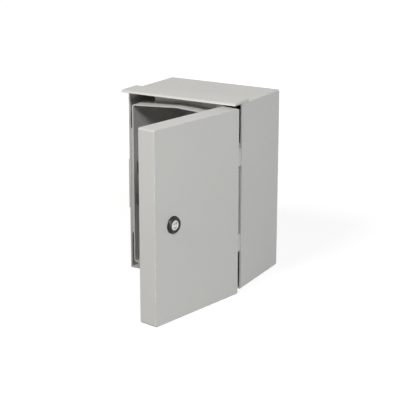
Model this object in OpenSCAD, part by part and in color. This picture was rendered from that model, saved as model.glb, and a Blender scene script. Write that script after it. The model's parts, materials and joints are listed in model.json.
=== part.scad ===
// Wall-mounted polyester enclosure with a hinged tray door, a rain canopy and a quarter-turn lock.
// Millimetres, +Z up, front towards -Y. The origin is on the wall plane, in the middle of the back.

/* [Body] */
// Width over the side walls at the front
body_w = 206.8; // [190:0.1:240]
// Height over the top and bottom walls at the front
body_h = 300.2; // [280:0.1:340]
// Depth from the wall plane to the front edges of the walls
body_d = 130.4; // [90:0.1:200]
// Thickness of the moulded walls
wall = 3.2; // [2.8:0.1:4]
// Inward draft of each side wall from front to back
side_draft = 2.1; // [0.5:0.1:4]
// Inward draft of the top wall from front to back
top_draft = 1; // [0.2:0.1:3]
// Inward draft of the bottom wall from front to back
bottom_draft = 2.2; // [0.2:0.1:4]
// Rounding of the outer edges
edge_r = 2; // [1:0.1:3.2]

/* [Rim] */
// Width of the gutter between the side walls and the rim
gutter_w = 17.8; // [16:0.1:22]
// Height of the rim's lower edge above the underside of the body
rim_bottom_gap = 19.2; // [14:0.1:26]
// Distance of the rim's upper corners below the top of the body
rim_top_gap = 16.9; // [14:0.1:26]
// Rise of the gabled top edge from the corners to the middle
rim_peak = 4.7; // [0:0.1:8]
// How far the rim stands forward of the walls
rim_stand = 22.3; // [18:0.1:24]
// Thickness of the rim and of the inner box
rim_wall = 2.8; // [2:0.1:4]
// Radius of the rim's upper corners
rim_top_r = 4.5; // [3:0.1:10]
// Radius of the rim's lower corners
rim_bottom_r = 6.3; // [4:0.1:14]

/* [Webs and corner pockets] */
// Height of the two lower corner pockets, measured from the underside
pocket_low_h = 60.9; // [45:0.1:64]
// Height of the two upper corner pockets, measured from the top
pocket_high_h = 63.1; // [45:0.1:68]
// Width of each corner pocket, measured from the inside of the side wall
pocket_w = 45.8; // [35:0.1:70]
// Thickness of the webs and partitions between the walls and the inner box
web_t = 3; // [2:0.1:4]
// Set-back of the webs behind the front edges of the walls
web_set_back = 1; // [0.4:0.1:3]

/* [Outer pad] */
// Height of the pad on the left wall beside the lock
pad_h = 82; // [40:1:120]
// How far the pad stands out
pad_t = 1.5; // [1:0.1:3]
// Depth of the pad along the wall
pad_d = 16; // [8:1:30]
// Height of the lock above the middle of the pad
pad_drop = 5.3; // [0:0.1:10]

/* [Rain canopy] */
// Width of the canopy
canopy_w = 206; // [190:0.1:240]
// Overhang of the canopy in front of the walls
canopy_front = 22.3; // [10:0.1:32]
// Reach of the canopy back over the top wall
canopy_back = 21.2; // [12:0.1:60]
// Thickness of the canopy
canopy_t = 3.8; // [2.5:0.1:6]
// Depth of the rounded nose along the canopy's front edge
nose_d = 5.2; // [4.5:0.1:10]
// Radius of the canopy's corners seen from above
canopy_r = 0.8; // [0.5:0.1:6]

/* [Door] */
// Inset of the door from the outside of each side wall
door_inset = 8.85; // [7:0.05:10]
// Height of the door's lower edge above the underside of the body
door_lift = 0.9; // [-2:0.1:3]
// Distance of the door's upper edge below the top of the body
door_top_gap = 2.8; // [1:0.1:6]
// Depth of the door tray
door_d = 30.7; // [29:0.1:36]
// Gap between the closed door and the front edges of the walls
door_gap = 3.3; // [2:0.1:6]
// Thickness of the door
door_wall = 3; // [2:0.1:4]
// Radius of the door's corners seen from the front
door_corner_r = 3; // [1:0.1:6]
// Rounding of the edges of the door's face
door_edge_r = 0.5; // [0.3:0.1:2]
// How far the door stands open
door_open = 79.3; // [0:0.1:130]

/* [Gasket] */
// Width of the foam gasket
gasket_w = 8; // [5:0.1:9]
// Clearance between the gasket and the rim of the closed door
gasket_gap = 0.3; // [0.2:0.1:1]
// Height of the ribs beside the gasket
rib_h = 4.4; // [2:0.1:5]
// Thickness of the ribs beside the gasket
rib_t = 1.5; // [1:0.1:2]

/* [Hinges] */
// Distance of each hinge from its end of the door, before both are lowered
hinge_end = 79.25; // [78:0.05:110]
// How far both hinges are lowered
hinge_drop = 1.6; // [0:0.1:2]
// How far the hinge axis lies outside the door's side
hinge_out = 0.65; // [0:0.05:1.2]
// How far the hinge axis lies behind the door's face
hinge_back = 15.4; // [14:0.1:17]
// Reach of the hinge-side flange behind the hinge axis
flange_reach = 10.4; // [8:0.1:11]
// Height of a hinge bracket
bracket_h = 28.2; // [24:0.1:32]
// Height of the middle knuckle on the door's leaf
knuckle_h = 10.6; // [8:0.1:12]
// Outer radius of the knuckles
knuckle_r = 4.4; // [3.8:0.1:4.6]
// Thickness of the bracket's arm
arm_t = 3.6; // [2.5:0.1:4.5]
// How far the bracket's cheek laps over the front edge of the side wall
cheek_out = 2; // [0.5:0.1:2.6]
// Length of the bracket's cheek
cheek_l = 10.3; // [6:0.1:11]
// Thickness of the bracket's base
base_t = 4; // [3:0.1:5]
// Radius of the hinge pin
pin_r = 2; // [1.5:0.1:2.5]
// Height of the steel leaf on the door
leaf_h = 53; // [50:0.5:60]
// Width of the steel leaf on the door
leaf_w = 13; // [11:0.1:13.4]
// Thickness of the steel leaf on the door
leaf_t = 2; // [1.5:0.1:2.4]
// Thickness of the moulded pads that the leaf is screwed to
leaf_pad_t = 3; // [2.5:0.1:3.4]

/* [Lock] */
// Distance of the lock from the door's free edge
lock_inset = 39; // [32:0.1:50]
// Height of the lock above the door's middle
lock_lift = 0.8; // [-5:0.1:5]
// Radius of the black bezel
bezel_r = 13.4; // [12.8:0.1:16]
// How far the bezel stands proud of the door
bezel_h = 5.2; // [4:0.1:5.4]
// Height of the straight edge round the bezel
bezel_skirt = 1.2; // [1:0.1:1.6]
// Width of the bevel inside the bezel
bezel_bevel = 1.2; // [0.5:0.1:1.5]
// Radius of the threaded shank
shank_r = 10; // [9:0.1:10.2]
// Length of the shank inside the door
shank_l = 25; // [20:0.5:26]
// Radius of the rotor's face
rotor_r = 7.4; // [7.2:0.1:8.5]
// Radius of the rotor's shaft
shaft_r = 6.5; // [6:0.1:7]
// Radius of the key recess
key_r = 5.2; // [4:0.1:5.6]
// Depth of the key recess
key_depth = 2.4; // [1:0.1:4]
// Width of the bar across the key recess
key_bar_w = 2.6; // [1.5:0.1:4]
// Width across the flats of the lock nut
nut_af = 24; // [22:0.5:27]
// Thickness of the lock nut
nut_t = 5; // [3:0.5:7]
// Reach of the cam from the lock's axis
cam_reach = 21; // [18:0.1:21.2]
// Width of the cam
cam_w = 12; // [9:0.5:14]
// Thickness of the cam
cam_t = 3; // [2:0.1:4]

/* [Keeper] */
// Height of the keeper's middle above the lock
keeper_lift = 1.6; // [-3:0.1:3]
// Height of each keeper foot
foot_h = 20.5; // [14:0.5:24]
// Distance between the middles of the keeper's feet
foot_pitch = 54; // [46:0.5:70]
// How far the feet stand off the inner box
foot_t = 4.5; // [3.5:0.1:6]
// How far the feet reach forward of the bar
foot_front = 4.4; // [2:0.1:7]
// Thickness of the bar that the cam closes behind
bar_t = 3; // [2:0.1:4]
// How far the bar stands off the inner box
bar_reach = 9; // [7:0.1:12]

/* [Fixings] */
// Distance between the wall fixing holes across the width
fix_w = 180.6; // [176:0.1:183]
// Distance between the wall fixing holes up the height
fix_h = 250; // [230:1:266]
// Radius of the wall fixing holes
fix_r = 3.5; // [2.5:0.1:4.5]
// Distance between the mounting-plate inserts across the width
insert_w = 120; // [80:1:140]
// Distance between the mounting-plate inserts up the height
insert_h = 220; // [160:1:240]
// Radius of the threaded hole in the inserts
insert_r = 2.1; // [1.6:0.1:2.6]
// Length of the brass inserts
insert_l = 10; // [6:0.5:11]
// Height of the bosses that hold the inserts
boss_h = 12; // [11.5:0.5:20]

/* [Hidden] */
$fn = 64;
// Facets of the rounded shell corners
hull_fn = 32;
// Overlap of cuts beyond a face
over = 1;
// Radial clearance of the pin in its fixed knuckles, and in the turning knuckle
pin_fit = 0.03;
pin_run = 0.06;
// Running clearance of the lock's rotor
rotor_run = 0.05;
// Clearance of screws in their holes, and between stacked loose pieces
screw_fit = 0.1;
slack = 0.3;

// Planes of the body
front_y = -body_d;
top_z = body_h / 2;
bot_z = -body_h / 2;
web_y = front_y + web_set_back;

// Rim and inner box
rim_w = body_w - 2 * wall - 2 * gutter_w;
rim_front_y = front_y - rim_stand;
rim_bot_z = bot_z + rim_bottom_gap;
rim_top_z = top_z - rim_top_gap;
inner_x = rim_w / 2 - rim_wall;
smallest_r = 0.8;

// Webs: their ends up the sides and along the top and bottom
web_low_z = bot_z + pocket_low_h;
web_high_z = top_z - pocket_high_h;
web_x = body_w / 2 - wall - pocket_w;

// Closed door
door_w = body_w - 2 * door_inset;
door_back_y = front_y - door_gap;
door_face_y = door_back_y - door_d;
door_in_y = door_face_y + door_wall;
door_bot_z = bot_z + door_lift;
door_top_z = top_z - door_top_gap;
door_mid_z = (door_bot_z + door_top_z) / 2;
flange_x = door_w / 2 - door_wall;

// Hinges
hinge_x = door_w / 2 + hinge_out;
hinge_y = door_face_y + hinge_back;
hinge_z = [door_bot_z + hinge_end - hinge_drop, door_top_z - hinge_end - hinge_drop];
arm_gap = 0.6;
base_gap = 1.6;
arm_x = body_w / 2 - wall - arm_gap;
base_x = rim_w / 2 + base_gap;
cheek_x = body_w / 2 - wall + cheek_out;
cheek_y = front_y - slack;
bracket_screw_inset = 5.2;
bracket_screw_x = base_x + bracket_screw_inset;
bracket_screw_pitch = 15;
bracket_screw_r = 1.9;
bracket_screw_l = 16;
bracket_boss_r = 4;
bracket_boss_l = 14;
ear_h = (bracket_h - knuckle_h) / 2 - slack;
notch_gap = 1.2;
notch_r = knuckle_r + notch_gap;
pin_tail = 1;
pin_head_r = pin_r + 1.4;
pin_head_h = 1.6;
leaf_x = flange_x - leaf_pad_t;
leaf_screw_pitch = 42;
leaf_screw_r = 1.5;
leaf_screw_l = 6.8;
leaf_pad_h = 10;
leaf_shift = 0.4;
leaf_y = hinge_y - leaf_shift;
leaf_arm_w = 6;
leaf_knuckle_r = knuckle_r - 0.2;

// Lock, measured outwards from the door's face
lock_x = -door_w / 2 + lock_inset;
lock_z = door_mid_z + lock_lift;
lock_end = -door_wall - shank_l;
cam_top = lock_end - slack;
cam_bottom = cam_top - cam_t;
washer_r = 7;
washer_t = 1.2;
rotor_sink = 1.2;
rotor_face = bezel_h - rotor_sink;
rotor_seat = 1.2;
key_bar_sink = 0.3;
square_af = 8;
cam_hub_r = shaft_r + 2.5;
cam_screw_r = 2;
cam_screw_l = 11;
seal_t = 1.2;

// Keeper: the bar lies just in front of the cam of the closed door, the screws behind the web
keeper_x = -inner_x;
keeper_z = lock_z + keeper_lift;
bar_back_y = door_face_y - cam_top - slack;
bar_front_y = bar_back_y - bar_t;
keeper_base_t = 2.4;
keeper_screw_r = 1.9;
keeper_boss_r = 4;
keeper_boss_l = 9;
keeper_screw_y = web_y + web_t + keeper_boss_r + slack;
keeper_back_y = keeper_screw_y + keeper_boss_r + over;

// Inserts and the bosses round them
insert_wall = 2;
boss_wall = 1.9;
insert_out_r = insert_r + insert_wall;
boss_r = insert_out_r + boss_wall;

shell_grey = [0.74, 0.74, 0.72];
fitting_grey = [0.66, 0.66, 0.65];
black = [0.12, 0.12, 0.13];
steel = [0.75, 0.76, 0.78];
zinc = [0.82, 0.82, 0.83];
brass = [0.78, 0.64, 0.33];
foam = [0.2, 0.2, 0.2];

// Half-width, top and bottom of the drafted walls at a depth
function half_w(y) = body_w / 2 - side_draft * (y - front_y) / body_d;
function wall_top(y) = top_z - top_draft * (y - front_y) / body_d;
function wall_bot(y) = bot_z + bottom_draft * (y - front_y) / body_d;
function inset_r(r, inset) = max(r - inset, smallest_r);

// A flat outline in X and Z, made solid from y0 back to y1
module along_y(y0, y1) {
    translate([0, y1, 0])
        rotate([90, 0, 0])
            linear_extrude(y1 - y0)
                children();
}

// A block between two opposite corners
module block(low, high) {
    translate(low)
        cube(high - low);
}

// A rectangle with round corners between two opposite corners
module rounded_rect(low, high, r) {
    translate(low + [r, 0])
        square(high - low - [2 * r, 0]);
    translate(low + [0, r])
        square(high - low - [0, 2 * r]);
    for (x = [low[0] + r, high[0] - r], y = [low[1] + r, high[1] - r])
        translate([x, y])
            circle(r);
}

// A cylinder along Y from y0 back to y1
module rod_y(x, z, r, y0, y1) {
    translate([x, y0, z])
        rotate([-90, 0, 0])
            cylinder(r = r, h = y1 - y0);
}

// A cylinder along X from x0 to x1
module rod_x(y, z, r, x0, x1) {
    translate([x0, y, z])
        rotate([0, 90, 0])
            cylinder(r = r, h = x1 - x0);
}

// Turns the closed door, with all it carries, to where it stands open
module on_door() {
    translate([hinge_x, hinge_y, 0])
        rotate([0, 0, door_open])
            translate([-hinge_x, -hinge_y, 0])
                children();
}

// The lock's own frame: Z outwards from the door's face, Y up
module on_lock() {
    on_door()
        translate([lock_x, door_face_y, lock_z])
            rotate([90, 0, 0])
                children();
}

// Outline of the rim seen from the front, moved inwards by inset
module rim_outline(inset) {
    w = rim_w / 2 - inset;
    low = rim_bot_z + inset;
    high = rim_top_z - inset;
    rb = inset_r(rim_bottom_r, inset);
    rt = inset_r(rim_top_r, inset);
    polygon([
        [-w + rb, low], [w - rb, low], [w, low + rb], [w, high - rt], [w - rt, high],
        [0, high + rim_peak],
        [-w + rt, high], [-w, high - rt], [-w, low + rb]
    ]);
    for (s = [-1, 1]) {
        translate([s * (w - rb), low + rb])
            circle(rb);
        translate([s * (w - rt), high - rt])
            circle(rt);
    }
}

// A ring that follows the rim between two insets, from y0 back to y1
module rim_ring(outer, inner, y0, y1) {
    along_y(y0, y1)
        difference() {
            rim_outline(outer);
            rim_outline(inner);
        }
}

// The drafted, rounded block that the outer walls are cut from
module wall_block() {
    intersection() {
        hull() {
            for (s = [-1, 1], y = [front_y, -edge_r]) {
                for (z = [wall_bot(y) + edge_r, wall_top(y) - edge_r])
                    translate([s * (half_w(y) - edge_r), y, z])
                        sphere(r = edge_r, $fn = hull_fn);
            }
        }
        block([-body_w, front_y, -body_h], [body_w, 0, body_h]);
    }
}

// The drafted space inside the outer walls, open at both ends
module wall_space(inset) {
    y0 = front_y - over;
    y1 = over;
    intersection() {
        translate([0, 0, -body_h])
            linear_extrude(2 * body_h)
                polygon([
                    [inset - half_w(y0), y0], [half_w(y0) - inset, y0],
                    [half_w(y1) - inset, y1], [inset - half_w(y1), y1]
                ]);
        translate([-body_w, 0, 0])
            rotate([90, 0, 90])
                linear_extrude(2 * body_w)
                    polygon([
                        [y0, wall_bot(y0) + inset], [y1, wall_bot(y1) + inset],
                        [y1, wall_top(y1) - inset], [y0, wall_top(y0) - inset]
                    ]);
    }
}

// Webs at the front, partitions, and the floors of the corner pockets
module gutter_walls() {
    intersection() {
        difference() {
            wall_space(wall / 2);
            along_y(front_y - 2 * over, 2 * over)
                rim_outline(rim_wall / 2);
        }
        union() {
            for (s = [-1, 1]) {
                mirror([s < 0 ? 1 : 0, 0, 0]) {
                    block([rim_w / 2 - wall, web_y, web_low_z], [body_w / 2, web_y + web_t, web_high_z]);
                    for (z = [web_low_z, web_high_z - web_t])
                        block([rim_w / 2 - wall, web_y, z], [body_w / 2, 0, z + web_t]);
                    block([web_x - web_t, web_y, bot_z], [web_x, 0, rim_bot_z + wall]);
                    block([web_x - web_t, web_y, rim_top_z - wall], [web_x, 0, top_z]);
                    block([web_x - web_t, -wall, bot_z], [body_w / 2, 0, web_low_z + web_t]);
                    block([web_x - web_t, -wall, web_high_z - web_t], [body_w / 2, 0, top_z]);
                }
            }
            block([-web_x, web_y, bot_z], [web_x, web_y + web_t, rim_bot_z + wall]);
            block([-web_x, web_y, rim_top_z - wall], [web_x, web_y + web_t, top_z]);
        }
    }
}

// Pad on the left wall beside the lock
module outer_pad() {
    left = -half_w(front_y);
    translate([0, 0, lock_z - pad_drop - pad_h / 2])
        linear_extrude(pad_h)
            polygon([
                [left + wall / 2, front_y], [left - pad_t, front_y],
                [left - pad_t, front_y + pad_d / 2], [left + wall / 2, front_y + pad_d]
            ]);
}

// Places of the wall fixing holes and of the inserts
module at_corners(w, h) {
    for (sx = [-1, 1], sz = [-1, 1])
        translate([sx * w / 2, 0, sz * h / 2])
            children();
}

module body_shell() {
    color(shell_grey)
        difference() {
            union() {
                difference() {
                    wall_block();
                    wall_space(wall);
                }
                difference() {
                    along_y(rim_front_y, 0)
                        rim_outline(0);
                    along_y(rim_front_y - over, -wall)
                        rim_outline(rim_wall);
                }
                gutter_walls();
                outer_pad();
                at_corners(insert_w, insert_h)
                    rod_y(0, 0, boss_r, -wall - boss_h, -wall / 2);
                for (z = hinge_z, s = [-1, 1])
                    rod_y(bracket_screw_x, z + s * bracket_screw_pitch / 2, bracket_boss_r,
                        web_y + web_t / 2, web_y + web_t + bracket_boss_l);
                for (s = [-1, 1])
                    rod_x(keeper_screw_y, keeper_z + s * foot_pitch / 2, keeper_boss_r,
                        -rim_w / 2 - keeper_boss_l, -rim_w / 2 + rim_wall / 2);
            }
            at_corners(fix_w, fix_h)
                rod_y(0, 0, fix_r, -wall - over, over);
            at_corners(insert_w, insert_h)
                rod_y(0, 0, insert_out_r, -wall - boss_h - over, -wall - boss_h + insert_l);
            for (z = hinge_z, s = [-1, 1])
                rod_y(bracket_screw_x, z + s * bracket_screw_pitch / 2, bracket_screw_r + screw_fit,
                    web_y - over, web_y + bracket_screw_l);
            for (s = [-1, 1])
                rod_x(keeper_screw_y, keeper_z + s * foot_pitch / 2, keeper_screw_r + screw_fit,
                    -rim_w / 2 - keeper_boss_l + over, -inner_x + over);
        }
}

// Plate over the door's upper joint, with a rounded nose along its front edge
module rain_canopy() {
    y0 = front_y - canopy_front;
    y1 = front_y + canopy_back;
    nose_r = (nose_d * nose_d + canopy_t * canopy_t) / (2 * canopy_t);
    color(shell_grey)
        intersection() {
            translate([-canopy_w / 2, 0, top_z])
                rotate([90, 0, 90])
                    linear_extrude(canopy_w)
                        union() {
                            translate([y0 + nose_d, 0])
                                square([y1 - y0 - nose_d, canopy_t]);
                            intersection() {
                                translate([y0 + nose_d, canopy_t - nose_r])
                                    circle(nose_r);
                                translate([y0, 0])
                                    square([nose_d, canopy_t]);
                            }
                        }
            translate([0, 0, top_z - over])
                linear_extrude(canopy_t + 2 * over)
                    rounded_rect([-canopy_w / 2, y0], [canopy_w / 2, y1], canopy_r);
        }
}

// Keeper that the cam closes behind: two feet on the inner box with a bar between them
module latch_keeper() {
    low = keeper_z - foot_pitch / 2 - foot_h / 2;
    high = keeper_z + foot_pitch / 2 + foot_h / 2;
    bar_low = keeper_z - foot_pitch / 2 + foot_h / 2;
    bar_high = keeper_z + foot_pitch / 2 - foot_h / 2;
    color(black)
        difference() {
            union() {
                block([keeper_x, bar_front_y, low], [keeper_x + keeper_base_t, keeper_back_y, high]);
                for (z = [low, bar_high])
                    block([keeper_x, bar_front_y - foot_front, z],
                        [keeper_x + foot_t, keeper_back_y, z + foot_h]);
                block([keeper_x, bar_front_y, bar_low], [keeper_x + bar_reach, bar_back_y, bar_high]);
            }
            for (s = [-1, 1])
                rod_x(keeper_screw_y, keeper_z + s * foot_pitch / 2, keeper_screw_r + screw_fit,
                    keeper_x - over, keeper_x + foot_t + over);
        }
}

// Pan-head screw: head outwards from z = 0 along +Z, shank along -Z
module pan_screw(r, length) {
    head_r = 1.6 * r;
    head_h = 1.1 * r;
    difference() {
        union() {
            cylinder(r = head_r, h = head_h);
            translate([0, 0, -length])
                cylinder(r = r, h = length);
        }
        translate([0, 0, head_h / 2])
            cylinder(r = 0.8 * r, h = head_h, $fn = 6);
    }
}

module keeper_screws() {
    color(zinc)
        for (s = [-1, 1])
            translate([keeper_x + foot_t, keeper_screw_y, keeper_z + s * foot_pitch / 2])
                rotate([0, 90, 0])
                    pan_screw(keeper_screw_r, foot_t + rim_wall + keeper_boss_l - 2 * over);
}

module mounting_inserts() {
    color(brass)
        at_corners(insert_w, insert_h)
            difference() {
                rod_y(0, 0, insert_out_r, -wall - boss_h, -wall - boss_h + insert_l);
                rod_y(0, 0, insert_r, -wall - boss_h - over, -wall - boss_h + insert_l + over);
            }
}

// Bracket on the body: a base on the web, an arm with a cheek along the wall, and two knuckles
module hinge_bracket(z) {
    low = z - bracket_h / 2;
    high = z + bracket_h / 2;
    color(fitting_grey)
        difference() {
            union() {
                block([base_x, web_y - base_t, low], [arm_x, web_y, high]);
                block([arm_x - arm_t, hinge_y + knuckle_r + 2 * slack, low], [arm_x, web_y, high]);
                block([arm_x - arm_t, cheek_y - cheek_l, low], [cheek_x, cheek_y, high]);
                for (e = [low, high - ear_h]) {
                    translate([hinge_x, hinge_y, e])
                        cylinder(r = knuckle_r, h = ear_h);
                    block([arm_x - arm_t, hinge_y, e], [arm_x, web_y, e + ear_h]);
                }
            }
            translate([hinge_x, hinge_y, low - over])
                cylinder(r = pin_r + pin_fit, h = bracket_h + 2 * over);
            for (s = [-1, 1])
                rod_y(bracket_screw_x, z + s * bracket_screw_pitch / 2, bracket_screw_r + screw_fit,
                    web_y - base_t - over, web_y + over);
        }
}

module hinge_bracket_lower() {
    hinge_bracket(hinge_z[0]);
}

module hinge_bracket_upper() {
    hinge_bracket(hinge_z[1]);
}

// Pin with a head that rests on the bracket's upper knuckle
module hinge_pin(z) {
    color(steel)
        translate([hinge_x, hinge_y, z - bracket_h / 2 - pin_tail]) {
            cylinder(r = pin_r, h = bracket_h + pin_tail);
            translate([0, 0, bracket_h + pin_tail])
                cylinder(r = pin_head_r, h = pin_head_h);
        }
}

module hinge_pin_lower() {
    hinge_pin(hinge_z[0]);
}

module hinge_pin_upper() {
    hinge_pin(hinge_z[1]);
}

module bracket_screws() {
    color(zinc)
        for (z = hinge_z, s = [-1, 1])
            translate([bracket_screw_x, web_y - base_t, z + s * bracket_screw_pitch / 2])
                rotate([90, 0, 0])
                    pan_screw(bracket_screw_r, base_t + bracket_screw_l - over);
}

// Rounded block that the door tray is cut from
module door_block() {
    cut_y = door_back_y + 2 * door_edge_r;
    intersection() {
        along_y(door_face_y, door_back_y)
            rounded_rect([-door_w / 2, door_bot_z], [door_w / 2, door_top_z], door_corner_r);
        translate([0, 0, -body_h])
            linear_extrude(2 * body_h)
                rounded_rect([-door_w / 2, door_face_y], [door_w / 2, cut_y], door_edge_r);
        translate([-body_w, 0, 0])
            rotate([90, 0, 90])
                linear_extrude(2 * body_w)
                    rounded_rect([door_face_y, door_bot_z], [cut_y, door_top_z], door_edge_r);
    }
}

module door_shell() {
    gasket_out = rim_wall / 2 - gasket_w / 2 - screw_fit;
    gasket_in = rim_wall / 2 + gasket_w / 2 + screw_fit;
    color(shell_grey)
        on_door()
            difference() {
                union() {
                    difference() {
                        door_block();
                        block([-flange_x, door_in_y, door_bot_z + door_wall],
                            [flange_x, door_back_y + over, door_top_z - door_wall]);
                        block([flange_x - over, hinge_y + flange_reach, door_bot_z + door_wall],
                            [door_w, door_back_y + over, door_top_z - door_wall]);
                    }
                    rim_ring(gasket_out - rib_t, gasket_out, door_in_y - door_wall / 2, door_in_y + rib_h);
                    rim_ring(gasket_in, gasket_in + rib_t, door_in_y - door_wall / 2, door_in_y + rib_h);
                    for (z = hinge_z, s = [-1, 1])
                        translate([0, 0, z + s * leaf_screw_pitch / 2])
                            block([leaf_x, leaf_y - leaf_w / 2, -leaf_pad_h / 2],
                                [flange_x + door_wall / 2, leaf_y + leaf_w / 2, leaf_pad_h / 2]);
                }
                for (z = hinge_z)
                    block([flange_x - over, hinge_y - notch_r, z - bracket_h / 2 - over],
                        [door_w, door_back_y + over, z + bracket_h / 2 + over + pin_head_h]);
                for (z = hinge_z, s = [-1, 1])
                    rod_x(leaf_y, z + s * leaf_screw_pitch / 2, leaf_screw_r + screw_fit,
                        leaf_x - over, leaf_x + leaf_screw_l - leaf_t + screw_fit);
                rod_y(lock_x, lock_z, shank_r + 2 * screw_fit, door_face_y - over, door_in_y + over);
            }
}

module door_gasket() {
    color(foam)
        on_door()
            rim_ring(rim_wall / 2 - gasket_w / 2, rim_wall / 2 + gasket_w / 2,
                door_in_y, rim_front_y - gasket_gap);
}

// Steel leaf on the door's flange, with a knuckle between the bracket's two
module hinge_leaf(z) {
    color(steel)
        on_door()
            difference() {
                union() {
                    block([leaf_x - leaf_t, leaf_y - leaf_w / 2, z - leaf_h / 2],
                        [leaf_x, leaf_y + leaf_w / 2, z + leaf_h / 2]);
                    block([leaf_x - leaf_t, hinge_y - leaf_arm_w / 2, z - knuckle_h / 2],
                        [hinge_x, hinge_y + leaf_arm_w / 2, z + knuckle_h / 2]);
                    translate([hinge_x, hinge_y, z - knuckle_h / 2])
                        cylinder(r = leaf_knuckle_r, h = knuckle_h);
                }
                translate([hinge_x, hinge_y, z - knuckle_h])
                    cylinder(r = pin_r + pin_run, h = 2 * knuckle_h);
                for (s = [-1, 1])
                    rod_x(leaf_y, z + s * leaf_screw_pitch / 2, leaf_screw_r + screw_fit,
                        leaf_x - leaf_t - over, leaf_x + over);
            }
}

module hinge_leaf_lower() {
    hinge_leaf(hinge_z[0]);
}

module hinge_leaf_upper() {
    hinge_leaf(hinge_z[1]);
}

module leaf_screws() {
    color(zinc)
        on_door()
            for (z = hinge_z, s = [-1, 1])
                translate([leaf_x - leaf_t, leaf_y, z + s * leaf_screw_pitch / 2])
                    rotate([0, -90, 0])
                        pan_screw(leaf_screw_r, leaf_screw_l);
}

// Half section of the bezel: a straight edge, a round shoulder and a bevel down to the rotor
module bezel_section() {
    shoulder_r = bezel_h - bezel_skirt;
    bore_r = rotor_r + rotor_run;
    difference() {
        union() {
            square([bezel_r, bezel_skirt]);
            square([bezel_r - shoulder_r, bezel_h]);
            intersection() {
                translate([bezel_r - shoulder_r, bezel_skirt])
                    circle(shoulder_r);
                square([bezel_r, bezel_h]);
            }
        }
        polygon([
            [0, rotor_face - rotor_sink / 2], [bore_r, rotor_face],
            [bore_r + bezel_bevel, bezel_h + screw_fit], [0, bezel_h + screw_fit]
        ]);
    }
}

// Black housing: a round bezel in front of the door and a shank through it
module lock_housing() {
    color(black)
        on_lock()
            difference() {
                union() {
                    rotate_extrude()
                        bezel_section();
                    translate([0, 0, lock_end])
                        cylinder(r = shank_r, h = over - lock_end);
                }
                translate([0, 0, rotor_seat])
                    cylinder(r = rotor_r + rotor_run, h = bezel_h);
                translate([0, 0, lock_end - over])
                    cylinder(r = shaft_r + rotor_run, h = bezel_h - lock_end);
                difference() {
                    translate([0, 0, -over])
                        cylinder(r = bezel_r - over, h = seal_t + over + screw_fit);
                    translate([0, 0, -2 * over])
                        cylinder(r = shank_r, h = seal_t + 4 * over);
                }
            }
}

module lock_seal() {
    color(foam)
        on_lock()
            difference() {
                cylinder(r = bezel_r - over - screw_fit, h = seal_t);
                translate([0, 0, -over])
                    cylinder(r = shank_r + screw_fit, h = seal_t + 2 * over);
            }
}

module lock_nut() {
    color(zinc)
        on_lock()
            translate([0, 0, -door_wall - nut_t])
                difference() {
                    cylinder(r = nut_af / 2 / cos(30), h = nut_t, $fn = 6);
                    translate([0, 0, -over])
                        cylinder(r = shank_r + screw_fit, h = nut_t + 2 * over);
                }
}

// Rotor with a barred key recess in its face and a square for the cam
module lock_rotor() {
    color(steel)
        on_lock()
            difference() {
                union() {
                    translate([0, 0, rotor_seat + screw_fit])
                        cylinder(r = rotor_r, h = rotor_face - rotor_seat - screw_fit);
                    translate([0, 0, cam_top])
                        cylinder(r = shaft_r, h = rotor_face - cam_top - screw_fit);
                    translate([-square_af / 2, -square_af / 2, cam_bottom])
                        cube([square_af, square_af, cam_t + over]);
                }
                translate([0, 0, rotor_face - key_depth])
                    difference() {
                        cylinder(r = key_r, h = key_depth + over);
                        translate([-key_r - over, -key_bar_w / 2, -over])
                            cube([2 * key_r + 2 * over, key_bar_w, key_depth - key_bar_sink + over]);
                    }
                translate([0, 0, cam_bottom - over])
                    cylinder(r = cam_screw_r + screw_fit, h = cam_screw_l + 2 * over);
            }
}

// Steel cam, pointing up while the lock is open
module lock_cam() {
    color(zinc)
        on_lock()
            translate([0, 0, cam_bottom])
                linear_extrude(cam_t - screw_fit)
                    difference() {
                        union() {
                            circle(cam_hub_r);
                            translate([-cam_w / 2, 0])
                                square([cam_w, cam_reach - cam_w / 2]);
                            translate([0, cam_reach - cam_w / 2])
                                circle(cam_w / 2);
                        }
                        square(square_af + 2 * screw_fit, center = true);
                    }
}

module cam_washer() {
    color(zinc)
        on_lock()
            translate([0, 0, cam_bottom - washer_t])
                difference() {
                    cylinder(r = washer_r, h = washer_t);
                    translate([0, 0, -over])
                        cylinder(r = cam_screw_r + 2 * screw_fit, h = washer_t + 2 * over);
                }
}

module cam_screw() {
    color(zinc)
        on_lock()
            translate([0, 0, cam_bottom - washer_t])
                rotate([180, 0, 0])
                    pan_screw(cam_screw_r, cam_screw_l + washer_t);
}

body_shell();
rain_canopy();
latch_keeper();
keeper_screws();
mounting_inserts();
hinge_bracket_lower();
hinge_bracket_upper();
hinge_pin_lower();
hinge_pin_upper();
bracket_screws();
door_shell();
door_gasket();
hinge_leaf_lower();
hinge_leaf_upper();
leaf_screws();
lock_housing();
lock_seal();
lock_nut();
lock_rotor();
lock_cam();
cam_washer();
cam_screw();
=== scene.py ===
"""Looks, light and camera for the polyester enclosure, in metres, with the front towards -Y."""
import json
import math

import bmesh
import bpy
from mathutils import Matrix, Vector, noise


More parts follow.
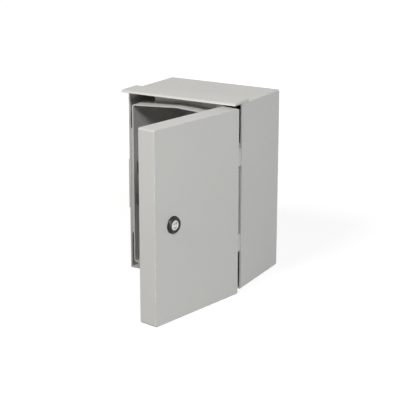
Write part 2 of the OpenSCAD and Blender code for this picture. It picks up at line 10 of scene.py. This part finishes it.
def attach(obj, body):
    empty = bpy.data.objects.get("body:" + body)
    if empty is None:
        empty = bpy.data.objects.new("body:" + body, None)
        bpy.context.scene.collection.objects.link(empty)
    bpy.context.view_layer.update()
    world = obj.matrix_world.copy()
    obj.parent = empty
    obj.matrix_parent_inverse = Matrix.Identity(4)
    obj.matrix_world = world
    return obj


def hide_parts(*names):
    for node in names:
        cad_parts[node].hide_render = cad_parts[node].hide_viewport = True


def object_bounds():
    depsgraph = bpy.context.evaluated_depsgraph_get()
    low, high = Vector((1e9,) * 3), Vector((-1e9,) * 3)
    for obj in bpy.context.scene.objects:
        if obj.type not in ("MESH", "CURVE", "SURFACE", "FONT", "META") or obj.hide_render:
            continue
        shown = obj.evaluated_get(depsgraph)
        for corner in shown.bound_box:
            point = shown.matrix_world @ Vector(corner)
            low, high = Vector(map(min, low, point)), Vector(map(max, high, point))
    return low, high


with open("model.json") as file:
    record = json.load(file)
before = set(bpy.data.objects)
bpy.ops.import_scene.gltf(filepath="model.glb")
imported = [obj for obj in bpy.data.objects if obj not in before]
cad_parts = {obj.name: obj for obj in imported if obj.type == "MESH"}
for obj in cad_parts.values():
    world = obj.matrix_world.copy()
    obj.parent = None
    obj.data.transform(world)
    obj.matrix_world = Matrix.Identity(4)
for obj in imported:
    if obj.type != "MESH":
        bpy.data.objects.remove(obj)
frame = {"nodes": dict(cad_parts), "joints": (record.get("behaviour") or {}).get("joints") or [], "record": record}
cad_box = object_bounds()
nodes = frame["nodes"]
joints = {joint["name"]: joint for joint in frame["joints"]}
scene = bpy.context.scene
MM = 0.001


# Camera: azimuth, elevation and roll in degrees, then the place it stands
def make_camera():
    az, el, roll = math.radians(30.16), math.radians(16.55), math.radians(0.06)
    back = Vector((math.sin(az) * math.cos(el), -math.cos(az) * math.cos(el), math.sin(el)))
    right = Vector((0, 0, 1)).cross(back).normalized()
    up = back.cross(right)
    r = right * math.cos(roll) + up * math.sin(roll)
    u = up * math.cos(roll) - right * math.sin(roll)
    data = bpy.data.cameras.new("camera")
    data.sensor_fit = "HORIZONTAL"
    data.sensor_width = 36.0
    data.lens = 117.0
    data.clip_end = 50.0
    cam = bpy.data.objects.new("camera", data)
    scene.collection.objects.link(cam)
    place = Vector((1.021603, -1.838700, 0.573194))
    cam.matrix_world = Matrix(((r.x, u.x, back.x, place.x), (r.y, u.y, back.y, place.y),
                               (r.z, u.z, back.z, place.z), (0, 0, 0, 1)))
    scene.camera = cam


make_camera()
scene.view_settings.view_transform = "Standard"


class Nodes:
    """A small helper for building a material's node tree."""

    def __init__(self, name):
        self.mat = bpy.data.materials.new(name)
        self.mat.use_nodes = True
        self.tree = self.mat.node_tree
        self.tree.nodes.clear()
        self.out = self.add("ShaderNodeOutputMaterial")
        self.coord = self.add("ShaderNodeTexCoord").outputs["Object"]

    def add(self, kind, **values):
        node = self.tree.nodes.new(kind)
        for key, value in values.items():
            setattr(node, key, value)
        return node

    def link(self, a, b):
        self.tree.links.new(a, b)

    def noise(self, scale, detail=3.0, rough=0.55, stretch=None):
        node = self.add("ShaderNodeTexNoise")
        node.inputs["Scale"].default_value = scale
        node.inputs["Detail"].default_value = detail
        node.inputs["Roughness"].default_value = rough
        source = self.coord
        if stretch:
            mapping = self.add("ShaderNodeMapping")
            mapping.inputs["Scale"].default_value = stretch
            self.link(source, mapping.inputs["Vector"])
            source = mapping.outputs["Vector"]
        self.link(source, node.inputs["Vector"])
        return node.outputs["Fac"]

    def cells(self, scale, feature="F1"):
        node = self.add("ShaderNodeTexVoronoi", feature=feature)
        node.inputs["Scale"].default_value = scale
        self.link(self.coord, node.inputs["Vector"])
        return node.outputs["Distance"]

    def ramp(self, source, low, high, a, b):
        node = self.add("ShaderNodeValToRGB")
        node.color_ramp.elements[0].position = low
        node.color_ramp.elements[1].position = high
        node.color_ramp.elements[0].color = (*a, 1)
        node.color_ramp.elements[1].color = (*b, 1)
        self.link(source, node.inputs["Fac"])
        return node.outputs["Color"]

    def span(self, source, low, high, a, b):
        node = self.add("ShaderNodeMapRange")
        for key, value in (("From Min", low), ("From Max", high), ("To Min", a), ("To Max", b)):
            node.inputs[key].default_value = value
        self.link(source, node.inputs["Value"])
        return node.outputs["Result"]

    def multiply(self, a, b, amount=1.0):
        node = self.add("ShaderNodeMix", data_type="RGBA", blend_type="MULTIPLY")
        node.inputs[0].default_value = amount
        self.link(a, node.inputs[6])
        self.link(b, node.inputs[7])
        return node.outputs[2]

    def bump(self, height, strength, distance, normal=None):
        node = self.add("ShaderNodeBump")
        node.inputs["Strength"].default_value = strength
        node.inputs["Distance"].default_value = distance
        self.link(height, node.inputs["Height"])
        if normal:
            self.link(normal, node.inputs["Normal"])
        return node.outputs["Normal"]

    def soft_edges(self, radius):
        node = self.add("ShaderNodeBevel", samples=6)
        node.inputs["Radius"].default_value = radius
        return node.outputs["Normal"]

    def surface(self, color, rough, normal, metallic=0.0, specular=0.5):
        shader = self.add("ShaderNodeBsdfPrincipled")
        self.link(color, shader.inputs["Base Color"])
        self.link(rough, shader.inputs["Roughness"])
        self.link(normal, shader.inputs["Normal"])
        shader.inputs["Metallic"].default_value = metallic
        shader.inputs["Specular IOR Level"].default_value = specular
        self.link(shader.outputs["BSDF"], self.out.inputs["Surface"])
        return self.mat


def tint(color, k):
    return tuple(min(1.0, c * k) for c in color)


def polyester(name, color):
    """Moulded glass-fibre polyester: a faint cloudy tone, fine fibre flecks and a slight orange peel."""
    n = Nodes(name)
    cloud = n.ramp(n.noise(9, 4), 0.3, 0.7, tint(color, 0.985), tint(color, 1.012))
    fleck = n.ramp(n.noise(1300, 2, 0.6, (1, 1, 0.35)), 0.3, 0.62, (0.97, 0.97, 0.97), (1, 1, 1))
    rough = n.span(n.noise(140, 3), 0.3, 0.7, 0.30, 0.38)
    peel = n.bump(n.noise(420, 2), 0.04, 0.0004, n.soft_edges(0.0004))
    grain = n.bump(n.noise(2300, 2), 0.04, 0.0002, peel)
    return n.surface(n.multiply(cloud, fleck), rough, grain, specular=0.5)


def plastic(name, color, rough=0.35, grain=0.05, specular=0.4):
    """Moulded nylon with a fine spark-eroded grain."""
    n = Nodes(name)
    tone = n.ramp(n.noise(60, 3), 0.3, 0.7, tint(color, 0.9), tint(color, 1.1))
    gloss = n.span(n.noise(300, 3), 0.3, 0.7, rough - 0.05, rough + 0.07)
    return n.surface(tone, gloss, n.bump(n.noise(2600, 2), grain, 0.0002), specular=specular)


def metal(name, color, rough=0.3, stretch=(1, 1, 1), scratch=0.08):
    """Plain or plated steel or brass with fine working marks."""
    n = Nodes(name)
    tone = n.ramp(n.noise(90, 4), 0.3, 0.7, tint(color, 0.9), tint(color, 1.06))
    gloss = n.span(n.noise(900, 3, 0.6, stretch), 0.3, 0.7, rough - 0.08, rough + 0.1)
    marks = n.bump(n.noise(1500, 3, 0.6, stretch), scratch, 0.0001)
    return n.surface(tone, gloss, marks, metallic=1.0)


def foam(name, color):
    """Closed-cell foam rubber with open cut cells."""
    n = Nodes(name)
    tone = n.ramp(n.cells(900), 0.0, 0.6, tint(color, 0.55), tint(color, 1.25))
    gloss = n.span(n.noise(400, 3), 0.3, 0.7, 0.75, 0.92)
    return n.surface(tone, gloss, n.bump(n.cells(900), 0.5, 0.0005), specular=0.2)


GREY = (0.490, 0.485, 0.468)
BLACK = (0.010, 0.010, 0.011)
STEEL = (0.56, 0.57, 0.58)
ZINC = (0.60, 0.60, 0.62)
BRASS = (0.62, 0.44, 0.17)
LENGTHWISE = (1, 1, 0.1)
FINISH = {
    "body_shell": polyester("polyester_body", GREY),
    # The canopy's grey is the body's grey made a little lighter and warmer: painted warm light on the top.
    "rain_canopy": polyester("polyester_canopy_painted_warm_light", (0.502, 0.495, 0.466)),
    "door_shell": polyester("polyester_door", GREY),
    "latch_keeper": plastic("black_keeper", BLACK, 0.45, 0.08),
    "keeper_screws": metal("zinc_keeper_screws", ZINC, 0.32),
    "mounting_inserts": metal("brass_inserts", BRASS, 0.3),
    "hinge_bracket_lower": plastic("grey_bracket_lower", GREY, 0.42),
    "hinge_bracket_upper": plastic("grey_bracket_upper", GREY, 0.42),
    "hinge_pin_lower": metal("steel_pin_lower", STEEL, 0.28, LENGTHWISE),
    "hinge_pin_upper": metal("steel_pin_upper", STEEL, 0.28, LENGTHWISE),
    "bracket_screws": metal("zinc_bracket_screws", ZINC, 0.32),
    "door_gasket": foam("foam_gasket", (0.035, 0.035, 0.036)),
    "hinge_leaf_lower": metal("steel_leaf_lower", STEEL, 0.34, LENGTHWISE),
    "hinge_leaf_upper": metal("steel_leaf_upper", STEEL, 0.34, LENGTHWISE),
    "leaf_screws": metal("zinc_leaf_screws", ZINC, 0.32),
    "lock_housing": plastic("black_bezel", tint(BLACK, 0.5), 0.34, 0.0, 0.36),
    "lock_seal": foam("foam_seal", (0.02, 0.02, 0.02)),
    "lock_nut": metal("zinc_nut", ZINC, 0.34),
    "lock_rotor": metal("metal_rotor", (0.62, 0.62, 0.61), 0.30),
    "lock_cam": metal("zinc_cam", ZINC, 0.34),
    "cam_washer": metal("zinc_washer", ZINC, 0.3),
    "cam_screw": metal("zinc_cam_screw", ZINC, 0.3),
}
for name, mat in FINISH.items():
    data = nodes[name].data
    data.materials.clear()
    data.materials.append(mat)

bodies = frame["record"]["behaviour"]["bodies"]
BODY_OF = {node: body for body, members in bodies.items() for node in members}


def stand_in(name, node, mesh, sharp_deg=35):
    """Puts a mesh in the place of a CAD node, on the node's body and with the node's finish."""
    mesh.polygons.foreach_set("use_smooth", [True] * len(mesh.polygons))
    mesh.set_sharp_from_angle(angle=math.radians(sharp_deg))
    mesh.materials.append(FINISH[node])
    piece = bpy.data.objects.new(name, mesh)
    scene.collection.objects.link(piece)
    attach(piece, BODY_OF[node])
    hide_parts(node)
    return piece


def soften(node, width, segments=2):
    """Stands a copy of a CAD node in its place, with the sharp edges rounded over."""
    data = bmesh.new()
    data.from_mesh(nodes[node].data)
    bmesh.ops.remove_doubles(data, verts=data.verts, dist=1e-6)
    flat = math.radians(0.5)
    bmesh.ops.dissolve_limit(data, angle_limit=flat, verts=data.verts, edges=data.edges)
    mesh = bpy.data.meshes.new(node + "_edged")
    data.to_mesh(mesh)
    data.free()
    piece = stand_in(node + "_edged", node, mesh)
    edges = piece.modifiers.new("edges", "BEVEL")
    edges.width = width
    edges.segments = segments
    edges.limit_method = "ANGLE"
    edges.angle_limit = math.radians(40)
    edges.harden_normals = True
    return piece


# Widths of the rounded edges on the small fittings, in millimetres
ROUNDED = {
    "latch_keeper": 0.5,
    "hinge_bracket_lower": 0.4,
    "hinge_bracket_upper": 0.4,
    "hinge_leaf_lower": 0.25,
    "hinge_leaf_upper": 0.25,
    "hinge_pin_lower": 0.25,
    "hinge_pin_upper": 0.25,
    "lock_rotor": 0.2,
    "lock_cam": 0.25,
    "cam_washer": 0.15,
}
for node, width in ROUNDED.items():
    soften(node, width * MM)


def draft_inside(node, drafts):
    """Stands a copy of a node in its place, with the inner edges of its front planes moved outwards."""
    mesh = nodes[node].data.copy()
    mesh.name = node + "_drafted"
    for front, flare in drafts:
        inward = {}
        for face in mesh.polygons:
            middle = Vector((face.center.x, 0, face.center.z))
            if abs(face.normal.y) > 0.5 or face.normal.dot(middle) > 0:
                continue
            for index in face.vertices:
                spot = mesh.vertices[index].co
                if abs(spot.y - front) < 1e-5:
                    key = (round(spot.x, 6), round(spot.z, 6))
                    inward[key] = inward.get(key, Vector()) + face.normal.normalized()
        for vert in mesh.vertices:
            key = (round(vert.co.x, 6), round(vert.co.z, 6))
            if abs(vert.co.y - front) < 1e-5 and key in inward:
                vert.co -= inward[key].normalized() * flare
    piece = bpy.data.objects.new(mesh.name, mesh)
    scene.collection.objects.link(piece)
    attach(piece, BODY_OF[node])
    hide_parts(node)


# The rim and the walls get thinner towards their fronts: the Y of each front plane, then the draft there
RIM_FRONT = -152.7 * MM
RIM_DRAFT = 0.8 * MM
WALL_FRONT = -130.4 * MM
WALL_DRAFT = 0.7 * MM
draft_inside("body_shell", ((RIM_FRONT, RIM_DRAFT), (WALL_FRONT, WALL_DRAFT)))


def revolve(rows, count, closed=False, shape=None):
    """Points and faces of rows of (radius, height) turned about Z; shape bends a point by its angle."""
    points = []
    for r, z in rows:
        for i in range(count):
            angle = 2 * math.pi * i / count
            rr, zz = shape(r, z, angle) if shape else (r, z)
            points.append(Vector((rr * math.cos(angle), rr * math.sin(angle), zz)))
    faces = []
    last = len(rows) if closed else len(rows) - 1
    for j in range(last):
        a, b = j * count, (j + 1) % len(rows) * count
        for i in range(count):
            k = (i + 1) % count
            faces.append((a + i, a + k, b + k, b + i))
    if not closed:
        faces.append(tuple(reversed(range(count))))
        faces.append(tuple(range(len(points) - count, len(points))))
    return points, faces


def frame_at(origin, axis, up):
    """The matrix of a place whose Z lies along axis and whose Y lies near up."""
    z = Vector(axis).normalized()
    x = Vector(up).cross(z).normalized()
    y = z.cross(x)
    return Matrix(((x.x, y.x, z.x, origin[0]), (x.y, y.y, z.y, origin[1]),
                   (x.z, y.z, z.z, origin[2]), (0, 0, 0, 1)))


def build(name, parts):
    """One mesh from several lots of (points, faces, matrix); the points are in millimetres."""
    points, faces = [], []
    for lot_points, lot_faces, matrix in parts:
        start = len(points)
        points.extend(matrix @ (p * MM) for p in lot_points)
        faces.extend(tuple(start + i for i in face) for face in lot_faces)
    mesh = bpy.data.meshes.new(name)
    mesh.from_pydata(points, [], faces)
    tidy = bmesh.new()
    tidy.from_mesh(mesh)
    bmesh.ops.recalc_face_normals(tidy, faces=tidy.faces)
    tidy.to_mesh(mesh)
    tidy.free()
    return mesh


def islands(node):
    """The separate solids of a CAD node, each as a list of its points."""
    data = bmesh.new()
    data.from_mesh(nodes[node].data)
    bmesh.ops.remove_doubles(data, verts=data.verts, dist=1e-6)
    left = set(data.verts)
    found = []
    while left:
        todo = [left.pop()]
        solid = []
        while todo:
            vert = todo.pop()
            solid.append(vert.co.copy())
            for edge in vert.link_edges:
                other = edge.other_vert(vert)
                if other in left:
                    left.discard(other)
                    todo.append(other)
        found.append(solid)
    data.free()
    return found


def thread(r, depth, pitch):
    """A shape for revolve: a V thread cut into the rows whose radius is r."""
    def shape(radius, z, angle):
        if abs(radius - r) > 1e-6:
            return radius, z
        turn = (z / pitch + angle / (2 * math.pi)) % 1.0
        return r - depth * abs(2 * turn - 1), z
    return shape


def screw(r, length, head_r, head_h, pitch=1.2):
    """A pan-head screw with a cross recess: head above z = 0, thread below; millimetres."""
    recess_r, recess_d, arm = 0.62 * head_r, 0.55 * head_h, math.radians(13)
    neck, point, depth, rows_per_turn = 0.05, 1.3, 0.22 * r, 5
    crown_steps = (0.04, 0.18, 0.2, 0.4, 0.6, 0.64, 0.8, 0.92)
    crown = [(k * head_r, head_h * (1 - 0.35 * k ** 3)) for k in crown_steps]
    side = [(head_r, 0.42 * head_h), (head_r, 0.04), (head_r - 0.05, 0.0)]
    count = max(8, int(length / pitch * rows_per_turn))
    shank = [(r, -neck - (length - point) * i / count) for i in range(count + 1)]
    tip = [(0.55 * r, -length + 0.1), (0.2 * r, -length)]
    v_cut = thread(r, depth, pitch)

    def shape(radius, z, angle):
        if z > 0.45 * head_h and radius < recess_r:
            off = abs((angle + math.pi / 4) % (math.pi / 2) - math.pi / 4)
            if off < arm or radius < 0.19 * head_r:
                return radius, z - recess_d * (1 - 0.25 * radius / recess_r)
        return v_cut(radius, z, angle)
    return revolve(crown + side + shank + tip, 48, shape=shape)


def make_screws(node, axis, r):
    """Replaces a node's plain screws, whose heads point along axis."""
    axis = Vector(axis).normalized()
    head_r, head_h = 1.6 * r, 1.1 * r
    parts = []
    for solid in islands(node):
        along = [p.dot(axis) for p in solid]
        centre = sum(solid, Vector()) / len(solid)
        low, high = min(along), max(along)
        seat = high - head_h * MM
        origin = centre + axis * (seat - centre.dot(axis))
        points, faces = screw(r, (seat - low) / MM, head_r, head_h)
        parts.append((points, faces, frame_at(origin, axis, (0, 0.1, 1))))
    stand_in(node + "_threaded", node, build(node + "_threaded", parts))


lock_pos = Vector(joints["lock_turn"]["pos_m"])
lock_axis = Vector(joints["lock_turn"]["axis"])
opened = math.radians(-joints["door_hinge"]["range_deg"][0])
leaf_axis = Vector((-math.cos(opened), -math.sin(opened), 0))
make_screws("bracket_screws", (0, -1, 0), 1.9)
make_screws("keeper_screws", (1, 0, 0), 1.9)
make_screws("leaf_screws", leaf_axis, 1.5)
make_screws("cam_screw", -lock_axis, 2.0)


def arc(centre, r, start, end, steps):
    """Rows of (radius, height) along an arc; the angles are in degrees from the height axis."""
    angles = [math.radians(start + (end - start) * i / steps) for i in range(steps + 1)]
    return [(centre[0] + r * math.sin(a), centre[1] + r * math.cos(a)) for a in angles]


def dome(edge_r, top, bends):
    """Rows from a flat top down to a side at edge_r, through arcs given as (radius, start, end)."""
    rise = [(r, math.radians(start), math.radians(end)) for r, start, end in bends]
    here = Vector((edge_r - sum(r * (math.sin(end) - math.sin(start)) for r, start, end in rise), top))
    rows = [tuple(here)]
    for r, start, end in rise:
        centre = here - r * Vector((math.sin(start), math.cos(start)))
        rows += arc(centre, r, math.degrees(start), math.degrees(end), 8)[1:]
        here = Vector(rows[-1])
    return rows


def make_lock_housing():
    """Bezel, a groove for its seal and a threaded shank; in millimetres from the door's face."""
    bezel_r, bezel_h, bezel_foot, foot_gap = 13.4, 5.2, 0.3, 0.02
    bore_r, bore_seat, bore_face = 7.45, 1.2, 4.0
    lip_r, lip_drop, crest_r = bore_r + 0.9, 0.22, bore_r + 1.2
    flank = ((2.5, 0, 55), (9.0, 55, 75), (1.5, 75, 90))
    seal_r, seal_h = bezel_r - 1, 1.3
    shaft_r, shank_r, shank_end, end_bevel = 6.55, 10.0, -28.0, 1.0
    thread_start, thread_step, thread_rows, thread_depth, pitch = -0.2, 0.24, 111, 0.8, 1.5
    sides, sharp_deg = 96, 50
    rows = [(shaft_r, bore_seat), (bore_r, bore_seat), (bore_r, bore_face)]
    rows += [(lip_r, bezel_h - lip_drop), (crest_r, bezel_h)]
    rows += dome(bezel_r, bezel_h, flank)
    rows += [(bezel_r, bezel_foot), (bezel_r - bezel_foot, foot_gap)]
    rows += [(seal_r, foot_gap), (seal_r, seal_h), (shank_r - 0.01, seal_h)]
    rows += [(shank_r, thread_start - thread_step * i) for i in range(thread_rows)]
    rows += [(shank_r - end_bevel, shank_end), (shaft_r, shank_end)]
    cut = thread(shank_r, thread_depth, pitch)
    points, faces = revolve(rows, sides, closed=True, shape=cut)
    mesh = build("lock_housing_moulded", [(points, faces, frame_at(lock_pos, lock_axis, (0, 0, 1)))])
    stand_in("lock_housing_moulded", "lock_housing", mesh, sharp_deg)


make_lock_housing()


def make_lock_nut():
    """Hexagon nut with chamfered corners."""
    flats, bore_r, thick, chamfer = 24.0, 10.1, 5.0, math.tan(math.radians(30))
    bevel, face_r, corner_h, sharp_deg = 0.5, flats / 2 - 0.3, 0.17, 25

    def hexagon(radius, z, angle):
        if radius < flats / 2:
            return radius, z
        corner = flats / 2 / math.cos((angle + math.pi / 6) % (math.pi / 3) - math.pi / 6)
        drop = (corner - flats / 2) * chamfer
        return corner, z - drop if z > thick / 2 else z + drop
    rows = [(bore_r + bevel, 0), (face_r, 0), (flats / 2, corner_h), (flats / 2, thick - corner_h)]
    rows += [(face_r, thick), (bore_r + bevel, thick), (bore_r, thick - bevel), (bore_r, bevel)]
    points, faces = revolve(rows, 72, closed=True, shape=hexagon)
    low = min(p.dot(lock_axis) for p in islands("lock_nut")[0])
    origin = lock_pos + lock_axis * (low - lock_pos.dot(lock_axis))
    mesh = build("lock_nut_chamfered", [(points, faces, frame_at(origin, lock_axis, (0, 0, 1)))])
    stand_in("lock_nut_chamfered", "lock_nut", mesh, sharp_deg)


make_lock_nut()


def make_lock_seal():
    """Foam ring under the bezel, with rounded edges."""
    inner, outer, thick, r = 10.1, 12.3, 1.2, 0.4
    rows = arc((outer - r, thick - r), r, 0, 90, 4) + arc((outer - r, r), r, 90, 180, 4)
    rows += arc((inner + r, r), r, 180, 270, 4) + arc((inner + r, thick - r), r, 270, 360, 4)
    points, faces = revolve(rows, 64, closed=True)
    mesh = build("lock_seal_foam", [(points, faces, frame_at(lock_pos, lock_axis, (0, 0, 1)))])
    seal = stand_in("lock_seal_foam", "lock_seal", mesh)


make_lock_seal()


# Door gasket: foam poured along the rim's outline, with the groove that the rim has pressed into it
def corner_path(corners, step):
    """A closed path of (x, z) points round corners given as (x, z, radius), with even steps between."""
    path = []
    for i, (x, z, r) in enumerate(corners):
        here = Vector((x, z))
        before = (Vector(corners[i - 1][:2]) - here).normalized()
        after = (Vector(corners[(i + 1) % len(corners)][:2]) - here).normalized()
        half = before.angle(after) / 2
        reach = r / math.tan(half)
        start, end = here + before * reach, here + after * reach
        centre = here + (before + after).normalized() * (r / math.sin(half))
        if path:
            count = max(1, round((start - path[-1]).length / step))
            path += [path[-1].lerp(start, k / count) for k in range(1, count)]
        for k in range(9):
            spoke = (start - centre).lerp(end - centre, k / 8)
            path.append(centre + spoke.normalized() * r)
    count = max(1, round((path[0] - path[-1]).length / step))
    path += [path[-1].lerp(path[0], k / count) for k in range(1, count)]
    return path


def make_gasket():
    """The gasket's section led along the path; it is laid out on the closed door, then opened with it."""
    hinge = Vector(joints["door_hinge"]["pos_m"])
    shut = Matrix.Translation(hinge) @ Matrix.Rotation(-opened, 4, "Z") @ Matrix.Translation(-hinge)
    closed = [shut @ v.co for v in nodes["door_gasket"].data.vertices]
    low = Vector(min(p[k] for p in closed) for k in range(3)) / MM
    high = Vector(max(p[k] for p in closed) for k in range(3)) / MM
    width, peak, top_r, bottom_r = 8.0, 4.7, 4.8, 5.0
    thick = high.y - low.y
    w, bottom, top = high.x - width / 2, low.z + width / 2, high.z - width / 2 - peak
    peak_r, step = 30, 5.0
    lower = [(-w, bottom, bottom_r), (w, bottom, bottom_r)]
    upper = [(w, top, top_r), (0, top + peak, peak_r), (-w, top, top_r)]
    path = corner_path(lower + upper, step)
    side, crown, groove = width / 2 - 0.08, thick - 0.05, thick - 0.75
    flank = [(-side, 0.02), (-side, 0.5 * thick), (-side, thick - 1.9)]
    flank += [(-side + 0.35, thick - 0.75), (-side + 1.1, thick - 0.15), (-2.1, crown)]
    flank += [(-1.75, thick - 0.25), (-1.4, groove)]
    section = flank + [(0, groove - 0.05)] + [(-u, v) for u, v in reversed(flank)]
    open_door = shut.inverted()
    points, faces = [], []
    for i, here in enumerate(path):
        along = (path[(i + 1) % len(path)] - path[i - 1]).normalized()
        across = Vector((along.y, -along.x))
        for u, v in section:
            wave = noise.noise(Vector((here.x * 0.06, here.y * 0.06, u * 0.4))) * 0.16 * v / thick
            spot = here + across * (u - wave * (1 if u > 0 else -1) * (abs(u) > 3))
            y = low.y + v - abs(wave) * (abs(u) < 3.4)
            points.append(open_door @ (Vector((spot.x, y, spot.y)) * MM) / MM)
    n = len(section)
    for i in range(len(path)):
        a, b = i * n, (i + 1) % len(path) * n
        for j in range(n):
            k = (j + 1) % n
            faces.append((a + j, a + k, b + k, b + j))
    sharp_deg = 60
    mesh = build("door_gasket_foam", [(points, faces, Matrix.Identity(4))])
    gasket = stand_in("door_gasket_foam", "door_gasket", mesh, sharp_deg)


make_gasket()


def background_rays(tree):
    """1 for rays from the camera, mirrors and glass, and 0 for the light on the object."""
    path = tree.nodes.new("ShaderNodeLightPath")
    found = path.outputs["Is Camera Ray"]
    for kind in ("Is Glossy Ray", "Is Transmission Ray"):
        either = tree.nodes.new("ShaderNodeMath")
        either.operation = "MAXIMUM"
        tree.links.new(found, either.inputs[0])
        tree.links.new(path.outputs[kind], either.inputs[1])
        found = either.outputs[0]
    return found


# Floor: pale, keeps the shadow near the part, and shows as white to the camera and in reflections
def make_floor(z, albedo=0.22, near_glow=0.86, near=0.45, far=1.6):
    n = Nodes("floor_white")
    diffuse = n.add("ShaderNodeBsdfDiffuse")
    dark, pale = (albedo - 0.01,) * 3, (albedo + 0.01,) * 3
    n.link(n.ramp(n.noise(2, 2), 0.3, 0.7, dark, pale), diffuse.inputs["Color"])
    reach = n.add("ShaderNodeVectorMath", operation="LENGTH")
    n.link(n.coord, reach.inputs[0])
    light = n.add("ShaderNodeEmission")
    strength = n.add("ShaderNodeMath", operation="MULTIPLY")
    n.link(background_rays(n.tree), strength.inputs[0])
    n.link(n.span(reach.outputs["Value"], near, far, near_glow, 1.0), strength.inputs[1])
    n.link(strength.outputs[0], light.inputs["Strength"])
    both = n.add("ShaderNodeAddShader")
    n.link(diffuse.outputs[0], both.inputs[0])
    n.link(light.outputs[0], both.inputs[1])
    n.link(both.outputs[0], n.out.inputs["Surface"])
    bpy.ops.mesh.primitive_plane_add(size=40, location=(0, 0, z))
    floor = bpy.context.object
    floor.name = "floor"
    floor.data.materials.append(n.mat)


make_floor(cad_box[0][2])


def make_world(strength, color):
    world = bpy.data.worlds.new("studio")
    world.use_nodes = True
    tree = world.node_tree
    tree.nodes.clear()
    out = tree.nodes.new("ShaderNodeOutputWorld")
    seen = tree.nodes.new("ShaderNodeBackground")
    light = tree.nodes.new("ShaderNodeBackground")
    mix = tree.nodes.new("ShaderNodeMixShader")
    seen.inputs["Strength"].default_value = 1.0
    seen.inputs["Color"].default_value = (1, 1, 1, 1)
    light.inputs["Color"].default_value = (*color, 1)
    light.inputs["Strength"].default_value = strength
    tree.links.new(background_rays(tree), mix.inputs[0])
    tree.links.new(light.outputs[0], mix.inputs[1])
    tree.links.new(seen.outputs[0], mix.inputs[2])
    tree.links.new(mix.outputs[0], out.inputs["Surface"])
    scene.world = world


make_world(strength=0.02, color=(0.94, 0.98, 1.04))


def towards(az, el):
    """Direction to a lamp: azimuth from the front towards the right, and elevation, in degrees."""
    a, e = math.radians(az), math.radians(el)
    return Vector((math.sin(a) * math.cos(e), -math.cos(a) * math.cos(e), math.sin(e)))


def soft_light(name, az, el, width, height, power, color=(1, 1, 1)):
    """A soft box that stands 3 m from the middle of the part."""
    middle = Vector((0.03, -0.15, 0.0))
    data = bpy.data.lights.new(name, "AREA")
    data.shape = "RECTANGLE"
    data.size = width
    data.size_y = height
    data.energy = power
    data.color = color
    lamp = bpy.data.objects.new(name, data)
    scene.collection.objects.link(lamp)
    lamp.location = middle + 3.0 * towards(az, el)
    lamp.rotation_euler = (middle - lamp.location).to_track_quat("-Z", "Y").to_euler()


WARM = (1.0, 0.985, 0.955)
COOL = (0.98, 0.99, 1.0)
NEUTRAL = (0.99, 1.0, 1.0)
soft_light("front", az=-10, el=46, width=0.7, height=0.7, power=71, color=WARM)
soft_light("upper", az=40, el=36, width=0.8, height=0.7, power=40, color=COOL)
soft_light("side", az=64, el=4, width=0.8, height=0.3, power=42, color=NEUTRAL)
soft_light("back", az=185, el=5, width=1.0, height=0.5, power=26)
soft_light("far", az=268, el=5, width=0.8, height=0.5, power=15)
